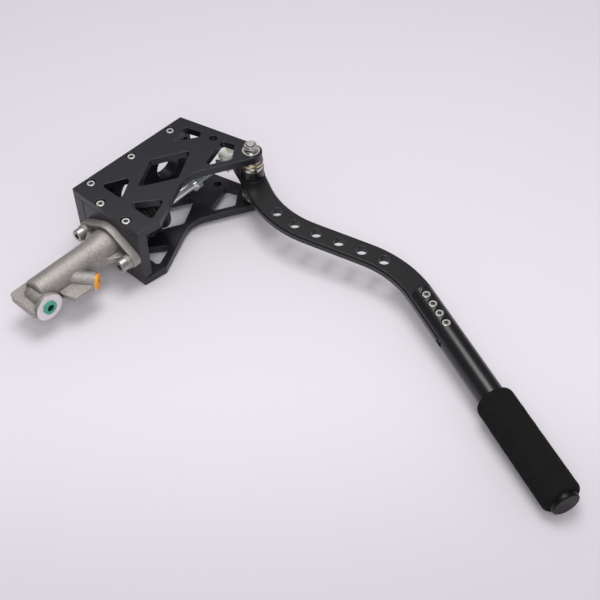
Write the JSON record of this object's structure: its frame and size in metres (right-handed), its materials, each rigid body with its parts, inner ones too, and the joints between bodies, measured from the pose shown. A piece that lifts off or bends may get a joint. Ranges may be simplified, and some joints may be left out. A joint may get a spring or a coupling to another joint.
{
  "type": "hydraulic parking brake lever",
  "caption": "Hydraulic hand brake: slotted plate box, S-shaped lever with a foam grip, clevis push rod and a bolted master cylinder.",
  "frame": {"origin": "centre of the floor bolt pattern, on the base plate's outer face", "axes": "+X along the base plate towards the pivot end, away from the cylinder; +Y out of the base plate's outer face, into the floor it bolts to; +Z square to the side plates, up as the lever lies in the picture"},
  "size_m": [0.2912, 0.557, 0.0873],
  "materials": {
    "black_plate": "black anodised, satin, machined",
    "black_lever": "black anodised, satin",
    "stainless": "bright turned stainless",
    "zinc": "bright zinc plate",
    "cream_zinc": "pale passivated zinc",
    "ground_steel": "ground steel",
    "spring_steel": "oiled spring steel",
    "brass": "turned brass",
    "casting": "as cast, grey, fine grained",
    "piston_alloy": "turned aluminium",
    "green_plug": "moulded polythene",
    "orange_plug": "moulded polythene",
    "boot_rubber": "moulded rubber",
    "grip_foam": "closed-cell foam, matte",
    "cap_plastic": "moulded plastic, satin"
  },
  "bodies": {
    "box": {"side_plate_upper": "black_plate", "side_plate_lower": "black_plate", "base_plate": "black_plate", "end_plate": "black_plate", "frame_screws_upper": "stainless", "frame_screws_lower": "stainless", "cylinder_body": "casting", "cylinder_bolts": "stainless", "outlet_plug": "green_plug", "inlet_plug": "orange_plug", "stop_washer": "ground_steel", "circlip": "spring_steel", "return_spring": "spring_steel", "dust_boot": "boot_rubber", "pivot_bolt": "zinc", "pivot_nut": "zinc", "pivot_sleeve": "ground_steel", "thrust_ring_upper": "ground_steel", "thrust_ring_lower": "ground_steel", "brass_washer_upper": "brass", "brass_washer_lower": "brass", "spacer_ring_upper": "ground_steel", "spacer_ring_lower": "ground_steel"},
    "lever": {"lever_bar": "black_lever", "hub_bush": "brass", "handle_tube": "black_lever", "handle_screws": "stainless", "foam_grip": "grip_foam", "end_cap": "cap_plastic"},
    "rod": {"push_rod": "zinc", "rod_washer": "zinc", "jam_nut": "zinc", "clevis_nut": "zinc", "clevis": "cream_zinc", "clevis_pin": "cream_zinc", "pin_clip": "spring_steel", "piston": "piston_alloy", "primary_seal": "boot_rubber", "secondary_seal": "boot_rubber"}
  },
  "joints": [
    {"name": "lever_pull", "type": "hinge", "parent": "box", "child": "lever", "pos_m": [0.0705, -0.0933, 0], "axis": [0, 0, 1], "range_deg": [0, 20]},
    {"name": "rod_push", "type": "slide", "parent": "box", "child": "rod", "axis": [-1, 0, 0], "range_m": [0, 0.014], "stiffness_N_per_m": 2000, "springref_m": -0.01, "deforming": ["dust_boot", "return_spring"]}
  ],
  "couplings": [
    {"joint": "rod_push", "follows": "lever_pull", "m_per_rad": 0.039901}
  ]
}
